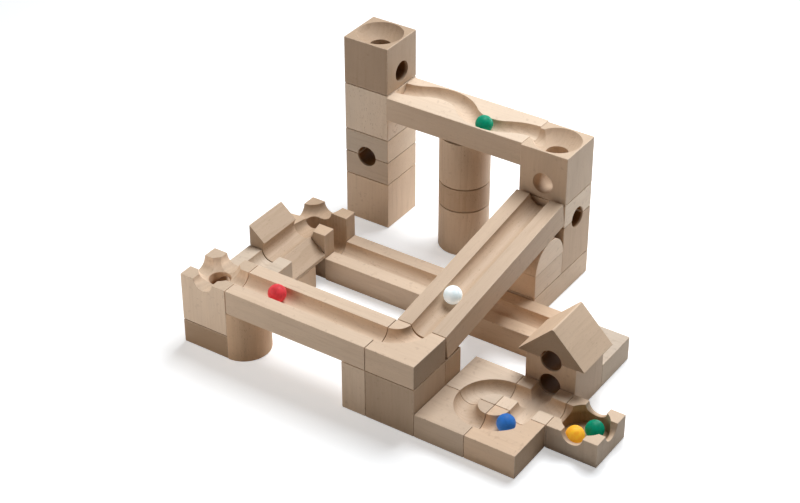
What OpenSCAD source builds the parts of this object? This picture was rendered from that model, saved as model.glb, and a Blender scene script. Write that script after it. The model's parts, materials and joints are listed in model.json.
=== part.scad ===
// Wooden marble run: loose beech blocks on a cube grid, with glass marbles.
// +X runs along the front track to the tray, +Y runs to the towers, +Z is up.
// The origin is under the middle of the whole layout, on the table.

/* [Blocks] */
// Side of one cube block, which is also the pitch of the layout
cube_side = 50; // [46:0.5:60]
// Chamfer along the outer edges of every block
edge_chamfer = 0.8; // [0.3:0.1:1.2]
// Cubes spanned by the front track and by the curvy track
span_cubes = 3; // [3:1:5]
// Cubes along the ramp
ramp_cubes = 4; // [4:1:6]
// How far tower 1 stands behind tower 2's line
tower1_shift = 5.5; // [0:0.5:8]
// How far the curvy track stands behind tower 2's line
curvy_shift = 2.5; // [0:0.5:8]
// How far the column stands behind tower 2's line
column_shift = 1; // [0:0.5:4]
// Gap left along the side branch, between the link block and the wedge
branch_gap = 1.2; // [0:0.1:2]
// Gap where the leaning ramp meets the blocks that carry it
ramp_gap = 0.2; // [0.1:0.05:0.4]

/* [Grooves and holes] */
// Radius of the half-round grooves, the tunnels and the drop holes, as a share of a cube's side
groove_share = 0.207; // [0.19:0.001:0.215]
// Radius of a funnel's rim, as a share of a cube's side
bowl_rim_share = 0.46; // [0.42:0.005:0.475]
// Depth of a funnel's ball-shaped dish, as a share of a cube's side
bowl_depth_share = 0.302; // [0.26:0.002:0.32]
// Radius of the rim of the dish between the castle's posts, as a share of a cube's side
castle_rim_share = 0.38; // [0.35:0.005:0.42]
// Depth of the dish between the castle's posts, as a share of a cube's side
castle_depth_share = 0.272; // [0.25:0.002:0.29]
// Height of a side exit's centre above the foot of its cube, as a share of a cube's side
exit_rise_share = 0.32; // [0.29:0.005:0.4]
// Wood left beside the curvy track's groove at the crest of a swing, as a share of a cube's side
crest_rim_share = 0.043; // [0.03:0.001:0.1]
// Depth of the fine tool mark where two arcs of the curvy groove meet
arc_mark = 0.05; // [0.03:0.01:0.1]
// Width of that tool mark
arc_mark_width = 0.6; // [0.4:0.1:1]
// Place of a swing's crest, from the track's end towards its middle
crest_share = 0.613; // [0.58:0.001:0.65]

/* [Special blocks] */
// Height of the wedge's tall side, as a share of a cube's side
wedge_height_share = 0.92; // [0.8:0.01:0.94]
// Height of the lip along the wedge's low side, as a share of a cube's side
wedge_lip_share = 0.07; // [0.04:0.005:0.12]
// How far the block under the wedge reaches beneath the link block, as a share of a cube's side
support_reach_share = 0.3; // [0.16:0.01:0.44]
// Sides of the roof's right-angled section, as a share of a cube's side
roof_leg_share = 0.95; // [0.8:0.01:0.98]
// Radius of the collecting tray's pocket, as a share of a cube's side
tray_pocket_share = 0.415; // [0.38:0.005:0.44]
// Depth of the collecting tray's pocket, as a share of a cube's side
tray_depth_share = 0.38; // [0.28:0.01:0.42]
// Radius of the turning castle's tapered notch at its mouth, as a share of a cube's side
notch_mouth_share = 0.23; // [0.2:0.005:0.26]
// Radius of the same notch at the middle of the cube, as a share of a cube's side
notch_end_share = 0.12; // [0.1:0.005:0.19]
// How far the end of the turning castle's slot lies past the cube's middle, as a share of its side
slot_share = 0.12; // [0:0.01:0.16]

/* [Marbles] */
// Difference between the radius of the grooves and that of a marble
marble_slack = 2; // [1.9:0.05:3]
// Clearance under and beside a marble
marble_gap = 0.3; // [0.2:0.05:0.5]
// Way that the red marble has rolled from the castle end of the front track
red_travel = 39.5; // [20:0.5:100]
// Way that the white marble has still to roll to the foot of the ramp
white_travel = 50; // [20:0.5:150]
// Way along the curvy track that is left to the crest of its second swing
green_travel = 2; // [0:0.5:15]
// Bearing of the blue marble round the middle of the swirl
blue_bearing = -36; // [-200:0.5:0]
// Bearing of the yellow marble in the tray, where it lies against the wall
yellow_bearing = 253; // [250:1:262]
// Distance of the tray's green marble from the middle of the tray
tray_green_offset = 7.85; // [7:0.05:9.5]
// Bearing of the tray's green marble
tray_green_bearing = 31; // [15:1:60]

/* [Hidden] */

$fn = 72;
half_side = cube_side / 2;
span_len = span_cubes * cube_side;
ramp_len = ramp_cubes * cube_side;
cube_size = [cube_side, cube_side, cube_side];
half_size = [cube_side, cube_side, half_side];
cut_overrun = edge_chamfer;
groove_r = groove_share * cube_side;
marble_r = groove_r - marble_slack;
exit_rise = exit_rise_share * cube_side;

// Columns and rows of the layout
castle_x = 0;
span_x = castle_x + cube_side;
corner_x = span_x + span_len;
swirl_x = corner_x + cube_side;
house_x = swirl_x + cube_side;
tray_x = house_x + cube_side;
front_y = 0;
link_y = front_y + cube_side;
wedge_y = link_y + cube_side;
lower_y = wedge_y + cube_side;
branch_wedge_y = wedge_y + branch_gap;
branch_turn_y = lower_y + branch_gap;

// Lean of the ramp: its foot touches the corner curve, its underside rests on
// the arch and its head touches tower 2. It settles in a few rounds.
lean_rounds = 8;
arch_r = half_side;
function lean(n) = n <= 0 ? 0
    : asin(arch_r / (ramp_len * cos(lean(n - 1)) + ramp_gap - arch_r));
ramp_lean = lean(lean_rounds);
ramp_y = link_y + ramp_gap + half_side * sin(ramp_lean);
tower2_y = ramp_y + ramp_len * cos(ramp_lean) + ramp_gap;
tower1_y = tower2_y + tower1_shift;
curvy_y = tower2_y + curvy_shift;
column_y = tower2_y + column_shift;
board_y = tower2_y - cube_side;

// Heights of the blocks' feet: each stack from the table up
tower1_floor_z = cube_side;
tower1_cap_z = tower1_floor_z + half_side;
tower1_cube_z = tower1_cap_z + half_side;
funnel_z = tower1_cube_z + cube_side;
disc_z = cube_side;
column_top_z = disc_z + half_side;
curvy_z = column_top_z + cube_side;
tunnel_cube_z = half_side;
tower2_cap_z = tunnel_cube_z + cube_side;
drop_z = tower2_cap_z + half_side;
arch_z = half_side + half_side;
track_z = cube_side;
ramp_z = cube_side + ramp_gap;
castle_z = half_side;
roof_z = cube_side;

// The curvy track's centre line: four arcs, mirrored about its middle
half_span = span_len / 2;
swing = half_side - groove_r - crest_rim_share * cube_side;
crest_lead = crest_share * half_span;
lead_turn = 2 * atan(swing / crest_lead);
cross_turn = 2 * atan(swing / (half_span - crest_lead));
crest_r = swing / (1 - cos(cross_turn));
lead_r = swing / (1 - cos(lead_turn)) - crest_r;
column_x = span_x + half_span - half_side;

roof_height = roof_leg_share * cube_side * sin(45);
wedge_height = wedge_height_share * cube_side;
wedge_lip = wedge_lip_share * cube_side;
support_reach = support_reach_share * cube_side;
tray_pocket_r = tray_pocket_share * cube_side;
tray_depth = tray_depth_share * cube_side;
marble_sink = groove_r - marble_r - marble_gap;
yellow_offset = tray_pocket_r - marble_r - marble_gap;

// Middle of the whole layout
middle = [(tray_x + cube_side) / 2, (tower1_y + cube_side) / 2];

beech = [0.87, 0.76, 0.65];
pale_beech = [0.90, 0.81, 0.71];
dark_beech = [0.79, 0.66, 0.54];

module place(x, y, z = 0) {
    translate([x - middle.x, y - middle.y, z]) children();
}

// A profile drawn across X and Z, run along Y, or drawn across Y and Z, run along X
module run_y(length) {
    translate([0, length, 0]) rotate([90, 0, 0]) linear_extrude(length) children();
}
module run_x(length) {
    rotate([90, 0, 90]) linear_extrude(length) children();
}

module chamfered_profile(a, b) {
    c = edge_chamfer;
    polygon([
        [c, 0], [a - c, 0], [a, c], [a, b - c],
        [a - c, b], [c, b], [0, b - c], [0, c]
    ]);
}

// A box with all twelve edges chamfered
module block(size) {
    intersection() {
        linear_extrude(size.z) chamfered_profile(size.x, size.y);
        run_y(size.y) chamfered_profile(size.x, size.z);
        run_x(size.x) chamfered_profile(size.y, size.z);
    }
}

// A rod with both ends chamfered, which stands on the origin
module rod(r, length) {
    c = edge_chamfer;
    cylinder(r1 = r - c, r2 = r, h = c);
    translate([0, 0, c]) cylinder(r = r, h = length - 2 * c);
    translate([0, 0, length - c]) cylinder(r1 = r, r2 = r - c, h = c);
}
module round_post(length) {
    translate([half_side, half_side, 0]) rod(half_side, length);
}

// Half a rod: its flat side stands on X = 0 and it bulges towards +X
module half_rod(length) {
    intersection() {
        rod(arch_r, length);
        translate([0, -arch_r, 0]) cube([arch_r, 2 * arch_r, length]);
    }
}

// Grooves down the middle of a block: half-round where the height is its top or
// its foot, and round tunnels between them
module groove_x(length, height) {
    translate([-cut_overrun, half_side, height]) rotate([0, 90, 0])
        cylinder(r = groove_r, h = length + 2 * cut_overrun);
}
module groove_y(length, height) {
    translate([half_side, -cut_overrun, height]) rotate([-90, 0, 0])
        cylinder(r = groove_r, h = length + 2 * cut_overrun);
}

// A groove that bends round one corner of a block, from side to side
module groove_bend(corner, height) {
    translate([corner.x, corner.y, height])
        rotate_extrude() translate([half_side, 0]) circle(r = groove_r);
}

// A groove that starts at the origin towards +X and bends to the left
module groove_arc(path_r, turn) {
    translate([0, path_r, 0]) rotate([0, 0, -90])
        rotate_extrude(angle = turn) translate([path_r, 0]) circle(r = groove_r);
}

// A funnel's dish, and its hole with an elbow to one side
module dish(rim_share = bowl_rim_share, depth_share = bowl_depth_share) {
    rim = rim_share * cube_side;
    depth = depth_share * cube_side;
    ball_r = (rim * rim + depth * depth) / (2 * depth);
    translate([half_side, half_side, cube_side + ball_r - depth]) sphere(r = ball_r);
}
module drop_hole(rise, turn) {
    translate([half_side, half_side, rise]) {
        sphere(r = groove_r);
        cylinder(r = groove_r, h = cube_side - rise);
        rotate([0, 90, turn]) cylinder(r = groove_r, h = half_side + cut_overrun);
    }
}

// Tower 1 and its funnel
module tower1_foot_cube() {
    color(beech) place(castle_x, tower1_y) block(cube_size);
}
module tower1_tunnel_floor() {
    color(pale_beech) place(castle_x, tower1_y, tower1_floor_z)
        difference() { block(half_size); groove_y(cube_side, half_side); }
}
module tower1_tunnel_cap() {
    color(beech) place(castle_x, tower1_y, tower1_cap_z)
        difference() { block(half_size); groove_y(cube_side, 0); }
}
module tower1_cube() {
    color(pale_beech) place(castle_x, tower1_y, tower1_cube_z) block(cube_size);
}
module funnel_cube() {
    color(dark_beech) place(castle_x, tower1_y, funnel_z)
        difference() { block(cube_size); dish(); drop_hole(exit_rise, 0); }
}

// The curvy track on its column. A fine mark covers each joint of two arcs.
module arc_joint() {
    rotate([0, 90, 0]) cylinder(r = groove_r + arc_mark, h = arc_mark_width, center = true);
}
module half_swing() {
    groove_arc(lead_r, lead_turn);
    translate([lead_r * sin(lead_turn), lead_r * (1 - cos(lead_turn)), 0])
        rotate([0, 0, lead_turn]) {
            mirror([0, 1, 0]) groove_arc(crest_r, lead_turn + cross_turn);
            arc_joint();
        }
}
module curvy_track() {
    color(beech) place(span_x, curvy_y, curvy_z)
        difference() {
            block([span_len, cube_side, half_side]);
            translate([0, half_side, half_side]) half_swing();
            translate([half_span, half_side, half_side]) rotate([0, 0, -cross_turn]) arc_joint();
            translate([span_len, half_side, half_side]) rotate([0, 0, 180]) half_swing();
        }
}
module column_foot() {
    color(dark_beech) place(column_x, column_y) round_post(cube_side);
}
module column_disc() {
    color(beech) place(column_x, column_y, disc_z) round_post(half_side);
}
module column_top() {
    color(dark_beech) place(column_x, column_y, column_top_z) round_post(cube_side);
}

// Tower 2, and the ramp that leans on its arch
module tower2_base_board() {
    color(beech) place(corner_x, board_y)
        block([cube_side, tower2_y + cube_side - board_y, half_side]);
}
module tower2_tunnel_cube() {
    color(beech) place(corner_x, tower2_y, tunnel_cube_z)
        difference() { block(cube_size); groove_x(cube_side, cube_side); }
}
module tower2_tunnel_cap() {
    color(pale_beech) place(corner_x, tower2_y, tower2_cap_z)
        difference() { block(half_size); groove_x(cube_side, 0); }
}
module drop_cube() {
    color(beech) place(corner_x, tower2_y, drop_z)
        difference() {
            block(cube_size);
            dish();
            groove_x(half_side, cube_side);
            drop_hole(exit_rise, -90);
        }
}
module arch_support() {
    color(dark_beech) place(corner_x, board_y, half_side) block(half_size);
}
module arch_block() {
    color(beech) place(corner_x, tower2_y - arch_r, arch_z)
        rotate([0, -90, 180]) half_rod(cube_side);
}
module ramp() {
    color(pale_beech) place(corner_x, ramp_y, ramp_z) rotate([ramp_lean, 0, 0])
        difference() {
            block([cube_side, ramp_len, half_side]);
            groove_y(ramp_len, half_side);
        }
}

// The corner where the ramp meets the front track
module corner_cube() {
    color(dark_beech) place(corner_x, front_y) block(cube_size);
}
module corner_prop_left() {
    color(dark_beech) place(corner_x - half_side, front_y)
        block([half_side, cube_side, cube_side]);
}
module corner_prop_back() {
    color(dark_beech) place(corner_x, link_y) block([cube_side, half_side, cube_side]);
}
module corner_curve() {
    color(beech) place(corner_x, front_y, track_z)
        difference() { block(half_size); groove_bend([0, cube_side], half_side); }
}
module front_track() {
    color(beech) place(span_x, front_y, track_z)
        difference() {
            block([span_len, cube_side, half_side]);
            groove_x(span_len, half_side);
        }
}
module front_leg() {
    color(dark_beech) place(span_x, front_y + half_side) half_rod(cube_side);
}

// The side branch: one castle drops the marble, the link and the wedge carry it
// to the other castle, which turns it
module castle_base() {
    color(dark_beech) place(castle_x, front_y) block(half_size);
}
module castle_drop() {
    color(beech) place(castle_x, front_y, castle_z)
        difference() {
            block(cube_size);
            dish(castle_rim_share, castle_depth_share);
            groove_x(cube_side, cube_side);
            groove_y(cube_side, cube_side);
            drop_hole(half_side, 90);
        }
}
module link_track() {
    color(pale_beech) place(castle_x, link_y, castle_z)
        difference() { block(half_size); groove_y(cube_side, half_side); }
}
module link_prop() {
    color(beech) place(castle_x, link_y) block([cube_side, half_side, half_side]);
}
module wedge_profile() {
    polygon([[0, 0], [cube_side, 0], [cube_side, wedge_lip], [0, wedge_height]]);
}
module wedge_track() {
    color(beech) place(castle_x, branch_wedge_y, castle_z)
        difference() {
            intersection() { block(cube_size); run_y(cube_side) wedge_profile(); }
            groove_y(cube_side, half_side);
        }
}
module wedge_support() {
    color(beech) place(castle_x, branch_wedge_y - support_reach) block(half_size);
}
module castle_turn() {
    slot_shift = slot_share * cube_side;
    slot_len = half_side + slot_shift + cut_overrun;
    slot_rise = half_side + cut_overrun;
    color(beech) place(castle_x, branch_turn_y)
        difference() {
            block(cube_size);
            translate([half_side, -cut_overrun, cube_side]) rotate([-90, 0, 0])
                cylinder(r1 = notch_mouth_share * cube_side, r2 = notch_end_share * cube_side,
                         h = slot_rise);
            groove_bend([0, cube_side], cube_side);
            translate([half_side - slot_shift, half_side, half_side]) {
                sphere(r = groove_r);
                cylinder(r = groove_r, h = slot_rise);
                rotate([0, 90, 0]) cylinder(r = groove_r, h = slot_len);
                translate([0, -groove_r, 0]) cube([slot_len, 2 * groove_r, slot_rise]);
            }
        }
}

// The lower track, and the curve at its end behind the house
module lower_track(length) {
    difference() {
        block([length, cube_side, half_side]);
        groove_x(length, half_side);
    }
}
module lower_track_long() {
    color(beech) place(span_x, lower_y) lower_track(span_len);
}
module lower_track_short() {
    color(dark_beech) place(corner_x, lower_y) lower_track(house_x - corner_x);
}
module end_curve() {
    color(beech) place(house_x, lower_y)
        difference() { block(half_size); groove_bend([0, 0], half_side); }
}

// The house, with one tunnel through it and another under its roof
module house() {
    color(beech) place(house_x, wedge_y)
        difference() {
            block(cube_size);
            groove_y(cube_side, half_side);
            groove_y(cube_side, cube_side);
        }
}
module roof_profile() {
    c = edge_chamfer;
    h = roof_height;
    translate([half_side, 0])
        polygon([[-h + c, 0], [h - c, 0], [h - c, c], [c, h - c], [-c, h - c], [-h + c, c]]);
}
module roof() {
    color(beech) place(house_x, wedge_y, roof_z)
        difference() { run_y(cube_side) roof_profile(); groove_y(cube_side, 0); }
}

// The swirl of four blocks, and the tray that collects the marbles
module swirl_quarter(corner) {
    difference() { block(half_size); groove_bend(corner, half_side); }
}
module swirl_front_left() {
    color(beech) place(swirl_x, front_y) swirl_quarter([cube_side, cube_side]);
}
module swirl_front_right() {
    color(beech) place(house_x, front_y) swirl_quarter([0, cube_side]);
}
module swirl_back_left() {
    color(pale_beech) place(swirl_x, link_y) swirl_quarter([cube_side, 0]);
}
module crossing() {
    color(beech) place(house_x, link_y)
        difference() {
            block(half_size);
            groove_x(cube_side, half_side);
            groove_y(cube_side, half_side);
        }
}
module tray() {
    color(beech) place(tray_x, link_y)
        difference() {
            block(half_size);
            groove_x(cube_side, half_side);
            groove_y(cube_side, half_side);
            translate([half_side, half_side, half_side - tray_depth])
                cylinder(r = tray_pocket_r, h = tray_depth + cut_overrun);
        }
}

// The marbles, each on the groove or floor that it rolls on
module marble(paint) {
    color(paint) sphere(r = marble_r);
}
module red_marble() {
    place(span_x + red_travel, front_y + half_side, track_z + half_side - marble_sink)
        marble("crimson");
}
module white_marble() {
    place(corner_x + half_side, ramp_y, ramp_z) rotate([ramp_lean, 0, 0])
        translate([0, white_travel, half_side - marble_sink]) marble("azure");
}
module green_marble() {
    bearing = asin(green_travel / crest_r);
    crest = [span_x + span_len - crest_lead, curvy_y + half_side - swing];
    place(crest.x - crest_r * sin(bearing), crest.y + crest_r * (1 - cos(bearing)),
          curvy_z + half_side - marble_sink) marble("seagreen");
}
module blue_marble() {
    place(house_x + half_side * cos(blue_bearing), link_y + half_side * sin(blue_bearing),
          half_side - marble_sink) marble("royalblue");
}
module tray_marble(offset_r, bearing, paint) {
    place(tray_x + half_side + offset_r * cos(bearing),
          link_y + half_side + offset_r * sin(bearing),
          half_side - tray_depth + marble_gap + marble_r) marble(paint);
}
module yellow_marble() {
    tray_marble(yellow_offset, yellow_bearing, "orange");
}
module tray_green_marble() {
    tray_marble(tray_green_offset, tray_green_bearing, "seagreen");
}

tower1_foot_cube();
tower1_tunnel_floor();
tower1_tunnel_cap();
tower1_cube();
funnel_cube();
curvy_track();
column_foot();
column_disc();
column_top();
tower2_base_board();
tower2_tunnel_cube();
tower2_tunnel_cap();
drop_cube();
arch_support();
arch_block();
ramp();
corner_cube();
corner_prop_left();
corner_prop_back();
corner_curve();
front_track();
front_leg();
castle_base();
castle_drop();
link_track();
link_prop();
wedge_track();
wedge_support();
castle_turn();
lower_track_long();
lower_track_short();
end_curve();
house();
roof();
swirl_front_left();
swirl_front_right();
swirl_back_left();
crossing();
tray();
red_marble();
white_marble();
green_marble();
blue_marble();
yellow_marble();
tray_green_marble();
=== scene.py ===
"""Wooden marble run: finishes for its beech blocks and glass marbles, and their studio."""

import json
import math
from collections import namedtuple

import bmesh
import bpy
import numpy as np
from bpy.props import FloatProperty, FloatVectorProperty, PointerProperty
from bpy.types import Operator, Panel, PropertyGroup
from mathutils import Matrix, Vector


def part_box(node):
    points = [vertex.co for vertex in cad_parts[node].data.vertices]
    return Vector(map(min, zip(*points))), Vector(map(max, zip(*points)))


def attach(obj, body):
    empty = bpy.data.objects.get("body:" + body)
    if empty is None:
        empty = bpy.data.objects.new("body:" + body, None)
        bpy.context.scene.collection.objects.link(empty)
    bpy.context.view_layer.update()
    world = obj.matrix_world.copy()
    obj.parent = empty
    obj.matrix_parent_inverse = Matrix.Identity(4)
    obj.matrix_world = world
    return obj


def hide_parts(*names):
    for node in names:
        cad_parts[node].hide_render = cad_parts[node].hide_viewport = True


bl_info = {
    "name": "Wooden marble run",
    "version": (1, 0, 0),
    "blender": (4, 5, 0),
    "location": "View3D > Sidebar > Marble run",
    "description": "Makes the beech blocks, the glass marbles and the studio of a marble run",
    "category": "Object",
}

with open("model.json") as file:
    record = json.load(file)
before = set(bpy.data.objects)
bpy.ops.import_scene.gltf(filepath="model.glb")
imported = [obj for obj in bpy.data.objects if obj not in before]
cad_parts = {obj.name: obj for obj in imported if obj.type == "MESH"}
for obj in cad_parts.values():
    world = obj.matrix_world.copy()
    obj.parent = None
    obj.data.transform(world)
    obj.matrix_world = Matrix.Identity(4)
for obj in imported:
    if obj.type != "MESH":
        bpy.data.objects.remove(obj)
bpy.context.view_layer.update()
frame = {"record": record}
BODY_OF = {n: b for b, ns in frame["record"]["behaviour"]["bodies"].items() for n in ns}

MM = 0.001
X_AXIS, Y_AXIS, Z_AXIS = Vector((1, 0, 0)), Vector((0, 1, 0)), Vector((0, 0, 1))
FINE_STEPS = 96  # In a full turn
GROOVE_STEPS = 64  # Round the section of a groove that bends
STEPS_A_RADIAN = 24  # Along a winding groove
SLOT_STEPS = 40  # Round a slot's floor
HALF_STEP = Matrix.Rotation(math.pi / FINE_STEPS, 4, "Z")
HALF_GROOVE_STEP = Matrix.Rotation(math.pi / GROOVE_STEPS, 4, "Z")
OVERRUN = 2 * MM  # How far a cutter runs past a block
SLIM = 0.02 * MM  # How much slimmer a way out is than its hole, so that no walls fall together
SHARP = math.radians(42)  # Edges that turn more than this get rounded
MILLED_DEPTH = 0.85 * MM  # Faces that lie deeper in a block's box were milled
LEVEL_SEAM = 1.6  # A level seam's share of an upright one
POST_SEAM = 2.6  # The same between round posts


# Sizes, finishes and studio settings


class MarbleRunSizes(PropertyGroup):
    """Sizes of the blocks' grooves, holes and edges"""

    groove: FloatProperty(
        name="Groove radius", description="Radius of grooves, tunnels and drop holes",
        default=10.35 * MM, min=0.005, unit="LENGTH")
    bowl_rim: FloatProperty(
        name="Funnel rim radius", description="Radius of a funnel's rim",
        default=23 * MM, min=0.01, unit="LENGTH")
    bowl_depth: FloatProperty(
        name="Funnel depth", description="Depth of a funnel's dish",
        default=15.1 * MM, min=0.005, unit="LENGTH")
    castle_rim: FloatProperty(
        name="Castle rim radius", description="Radius of the dish between the drop castle's posts",
        default=19 * MM, min=0.01, unit="LENGTH")
    castle_depth: FloatProperty(
        name="Castle dish depth", description="Depth of the dish between the drop castle's posts",
        default=13.6 * MM, min=0.005, unit="LENGTH")
    notch_mouth: FloatProperty(
        name="Notch mouth radius", description="Radius of the turning castle's notch at its mouth",
        default=11.5 * MM, min=0.005, unit="LENGTH")
    notch_end: FloatProperty(
        name="Notch end radius", description="Radius of that notch at the middle of the castle",
        default=6 * MM, min=0.002, unit="LENGTH")
    slot_shift: FloatProperty(
        name="Slot shift", description="How far the turning castle's slot runs past its middle",
        default=6 * MM, min=0.0, unit="LENGTH")
    exit_rise: FloatProperty(
        name="Exit rise", description="Height of a side exit's centre above its cube's foot",
        default=16 * MM, min=0.005, unit="LENGTH")
    crest_rim: FloatProperty(
        name="Crest rim", description="Wood left beside the curvy groove at a crest",
        default=2.15 * MM, min=0.001, unit="LENGTH")
    crest_place: FloatProperty(
        name="Crest place", description="Place of a crest between the track's end and middle",
        default=0.613, min=0.55, max=0.7, subtype="FACTOR")
    wedge_lip: FloatProperty(
        name="Wedge lip", description="Height of the wedge's low side",
        default=3.5 * MM, min=0.001, unit="LENGTH")
    tray_pocket: FloatProperty(
        name="Tray pocket radius", description="Radius of the collecting tray's pocket",
        default=20.75 * MM, min=0.01, unit="LENGTH")
    tray_depth: FloatProperty(
        name="Tray depth", description="Depth of the collecting tray's pocket",
        default=19 * MM, min=0.005, unit="LENGTH")
    ramp_gap: FloatProperty(
        name="Ramp gap", description="Gap between the ramp and the blocks that carry it",
        default=0.2 * MM, min=0.0, unit="LENGTH")
    seam: FloatProperty(
        name="Seam", description="How far each block's faces keep back from its neighbours",
        default=0.22 * MM, min=0.0, unit="LENGTH")
    edge: FloatProperty(
        name="Edge rounding", description="Radius of the blocks' outer edges",
        default=0.55 * MM, min=0.0002, unit="LENGTH")
    rim: FloatProperty(
        name="Rim rounding", description="Radius of the grooves' and holes' rims",
        default=0.3 * MM, min=0.0001, unit="LENGTH")


class MarbleRunFinish(PropertyGroup):
    """Colours of the beech and the glass, and the wear and painted highlight of the beech's edges
    """

    beech: FloatVectorProperty(
        name="Beech", description="Colour of the bare beech",
        default=(0.70, 0.54, 0.40), size=3, min=0, max=1, subtype="COLOR")
    fleck: FloatVectorProperty(
        name="Flecks", description="Colour of the rays and pores in the beech",
        default=(0.36, 0.22, 0.13), size=3, min=0, max=1, subtype="COLOR")
    red: FloatVectorProperty(
        name="Red glass", description="Colour of the red marble",
        default=(0.62, 0.045, 0.055), size=3, min=0, max=1, subtype="COLOR")
    white: FloatVectorProperty(
        name="White glass", description="Colour of the white marble",
        default=(0.84, 0.95, 0.98), size=3, min=0, max=1, subtype="COLOR")
    green: FloatVectorProperty(
        name="Green glass", description="Colour of the green marbles",
        default=(0.0, 0.21, 0.115), size=3, min=0, max=1, subtype="COLOR")
    blue: FloatVectorProperty(
        name="Blue glass", description="Colour of the blue marble",
        default=(0.03, 0.15, 0.46), size=3, min=0, max=1, subtype="COLOR")
    yellow: FloatVectorProperty(
        name="Yellow glass", description="Colour of the yellow marble",
        default=(1.0, 0.47, 0.035), size=3, min=0, max=1, subtype="COLOR")
    grain: FloatProperty(
        name="Grain", description="How strongly the grain shows",
        default=1.0, min=0.0, max=3.0, subtype="FACTOR")
    # This also sets the strength of the painted highlight along the outer edges
    wear_and_sheen: FloatProperty(
        name="Edge wear", description="How worn and grimy the edges are",
        default=0.5, min=0.0, max=1.0, subtype="FACTOR")


class MarbleRunStage(PropertyGroup):
    """Camera and lamps"""

    azimuth: FloatProperty(
        name="Azimuth", description="Bearing of the camera round the run",
        default=math.radians(33.831), subtype="ANGLE")
    elevation: FloatProperty(
        name="Elevation", description="Height of the camera above the horizon",
        default=math.radians(33.949), subtype="ANGLE")
    roll: FloatProperty(
        name="Roll", description="Turn of the camera about its view",
        default=math.radians(-0.116), subtype="ANGLE")
    distance: FloatProperty(
        name="Distance", description="Distance of the camera from the corner block's foot",
        default=1.66646, unit="LENGTH")
    slide: FloatVectorProperty(
        name="Slide", description="Shift of the camera to its right and up",
        default=(-0.01153, 0.15882), size=2, unit="LENGTH")
    lens: FloatProperty(
        name="Lens", description="Focal length of the lens in millimetres",
        default=87.783, min=10)
    key: FloatProperty(
        name="Key lamp", description="Power of the big lamp above", default=17.4,
        min=0, unit="POWER")
    back: FloatProperty(
        name="Back lamps", description="Power of the smaller lamps behind", default=3.7,
        min=0, unit="POWER")
    front: FloatProperty(
        name="Front lamps", description="Power of the soft lamps before the run", default=1.26,
        min=0, unit="POWER")
    fill: FloatProperty(
        name="Sky", description="Strength of the even light all round", default=0.0, min=0)


# Small tools that several pieces share


def piece_object(name, bm):
    """An object in the scene made from a bmesh, which it uses up"""
    bmesh.ops.recalc_face_normals(bm, faces=bm.faces)
    mesh = bpy.data.meshes.new(name)
    bm.to_mesh(mesh)
    bm.free()
    obj = bpy.data.objects.new(name, mesh)
    bpy.context.scene.collection.objects.link(obj)
    return obj


def verts_of(geometry):
    return [g for g in geometry if isinstance(g, bmesh.types.BMVert)]


def edges_of(geometry):
    return [g for g in geometry if isinstance(g, bmesh.types.BMEdge)]


def round_edges(bm, edges, radius, steps):
    bmesh.ops.bevel(
        bm, geom=edges, offset=radius, segments=steps, profile=0.5, affect="EDGES", material=-1)


def spin_round(bm, centre):
    """Turns an outline right round an upright axis through a centre"""
    bmesh.ops.spin(
        bm, geom=bm.verts[:] + bm.edges[:], cent=centre, axis=Z_AXIS, angle=math.tau,
        steps=FINE_STEPS, use_merge=True)


def cuboid(lo, hi, radius=0.0):
    bm = bmesh.new()
    bmesh.ops.create_cube(bm, size=1.0)
    bmesh.ops.scale(bm, vec=hi - lo, verts=bm.verts)
    bmesh.ops.translate(bm, vec=(lo + hi) / 2, verts=bm.verts)
    if radius:
        round_edges(bm, bm.edges[:], radius, steps=3)
    return bm


def prism(outline, start, length, radius):
    """An outline of (x, z) corners, run along Y from start, with its edges rounded"""
    bm = bmesh.new()
    face = bm.faces.new([bm.verts.new((x, start, z)) for x, z in outline])
    run = bmesh.ops.extrude_face_region(bm, geom=[face])
    bmesh.ops.translate(bm, vec=(0, length, 0), verts=verts_of(run["geom"]))
    bmesh.ops.recalc_face_normals(bm, faces=bm.faces)
    round_edges(bm, bm.edges[:], radius, steps=5)
    return bm


def rod(start, end, radius, rounding=0.0, end_radius=None):
    """A round or tapered bar from start to end. Its flats straddle the main planes."""
    bm = bmesh.new()
    axis = end - start
    turn = axis.to_track_quat("Z", "Y").to_matrix().to_4x4()
    bmesh.ops.create_cone(
        bm, cap_ends=True, segments=FINE_STEPS, radius1=radius, radius2=end_radius or radius,
        depth=axis.length, matrix=Matrix.Translation((start + end) / 2) @ turn @ HALF_STEP)
    if rounding:
        rims = [e for e in bm.edges if e.calc_face_angle() > SHARP]
        round_edges(bm, rims, rounding, steps=3)
    return bm


def ball(centre, radius):
    bm = bmesh.new()
    bmesh.ops.create_uvsphere(
        bm, u_segments=FINE_STEPS, v_segments=FINE_STEPS // 2, radius=radius,
        matrix=Matrix.Translation(centre) @ HALF_STEP)
    return bm


def ring(centre, path_radius, radius):
    """A groove's cutter that bends right round a centre"""
    bm = bmesh.new()
    bmesh.ops.create_circle(
        bm, radius=radius, segments=GROOVE_STEPS,
        matrix=Matrix.Translation(centre) @ HALF_STEP @ Matrix.Translation((path_radius, 0, 0))
        @ Matrix.Rotation(math.pi / 2, 4, "X") @ HALF_GROOVE_STEP)
    spin_round(bm, centre)
    return bm


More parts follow.
